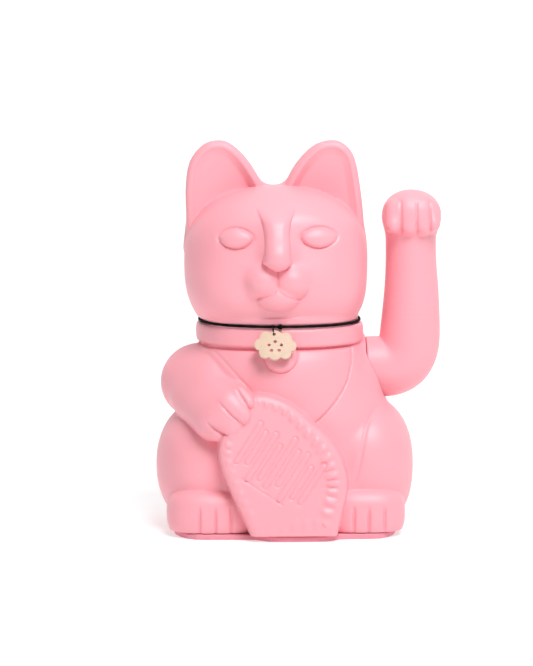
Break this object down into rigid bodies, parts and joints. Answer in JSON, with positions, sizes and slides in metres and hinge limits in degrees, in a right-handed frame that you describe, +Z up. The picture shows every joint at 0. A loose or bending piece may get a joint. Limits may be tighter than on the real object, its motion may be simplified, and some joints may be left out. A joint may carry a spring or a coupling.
{
  "type": "beckoning cat figurine",
  "caption": "Hollow moulded seated cat with a swinging raised arm, pendulum and coil drive, screwed base plate, battery door, neck cord and hanging charm.",
  "frame": {"origin": "centre of the underside of the base plate", "axes": "+Z up, the cat faces -Y, its raised arm is at +X"},
  "size_m": [0.1082, 0.0878, 0.1465],
  "materials": {
    "pink_plastic": "soft matte moulded plastic",
    "base_pink": "satin moulded plastic",
    "cell_jacket": "printed shrink sleeve",
    "contact_metal": "nickel plated spring steel",
    "white_plastic": "natural moulded plastic",
    "screw_steel": "zinc plated",
    "shaft_steel": "ground steel",
    "weight_steel": "pressed steel",
    "magnet_metal": "nickel plated",
    "board_green": "solder mask",
    "black_plastic": "moulded plastic",
    "copper": "enamelled copper wire",
    "capacitor_sleeve": "shrink sleeve",
    "lead_red": "insulated wire",
    "lead_black": "insulated wire",
    "cord_black": "covered elastic thread",
    "charm_cream": "soft cream plastic"
  },
  "bodies": {
    "housing": {"body_shell_front": "pink_plastic", "body_shell_rear": "pink_plastic", "base_plate": "base_pink", "battery_cell": "cell_jacket", "battery_contact_positive": "contact_metal", "battery_contact_negative": "contact_metal", "mechanism_frame": "white_plastic", "frame_screw_left": "screw_steel", "frame_screw_right": "screw_steel", "shell_screw_front_left": "screw_steel", "shell_screw_front_right": "screw_steel", "shell_screw_rear_left": "screw_steel", "shell_screw_rear_right": "screw_steel", "circuit_board": "board_green", "coil_bobbin": "black_plastic", "coil_winding": "copper", "driver_chip": "black_plastic", "capacitor": "capacitor_sleeve", "switch_body": "black_plastic", "lead_positive": "lead_red", "lead_negative": "lead_black", "lead_switch": "lead_black", "neck_cord": "cord_black"},
    "arm": {"arm_shell_front": "pink_plastic", "arm_shell_rear": "pink_plastic", "arm_hub": "white_plastic", "arm_shaft": "shaft_steel", "shaft_clip_left": "shaft_steel", "shaft_clip_right": "shaft_steel", "pendulum_lever": "white_plastic", "counterweight": "weight_steel", "pendulum_magnet": "magnet_metal"},
    "battery_lid": {"battery_door": "base_pink"},
    "switch": {"switch_slider": "black_plastic"},
    "charm_ring": {"charm_loop": "cord_black"},
    "charm_plate": {"charm": "charm_cream"}
  },
  "joints": [
    {"name": "arm_swing", "type": "hinge", "parent": "housing", "child": "arm", "pos_m": [0, 0, 0.0604], "axis": [1, 0, 0], "range_deg": [-20, 20]},
    {"name": "battery_lid_hinge", "type": "hinge", "parent": "housing", "child": "battery_lid", "pos_m": [0, 0.0153, 0.00015], "axis": [-1, 0, 0], "range_deg": [0, 75]},
    {"name": "switch_slide", "type": "slide", "parent": "housing", "child": "switch", "axis": [1, 0, 0], "range_m": [0, 0.002]},
    {"name": "charm_lift", "type": "hinge", "parent": "housing", "child": "charm_ring", "pos_m": [-0.005, -0.0298, 0.0789], "axis": [-1, 0, 0], "range_deg": [0, 70]},
    {"name": "charm_sway", "type": "hinge", "parent": "charm_ring", "child": "charm_plate", "pos_m": [-0.005, -0.03163, 0.07597], "axis": [0, -0.848, 0.5299], "range_deg": [-22, 22]}
  ]
}
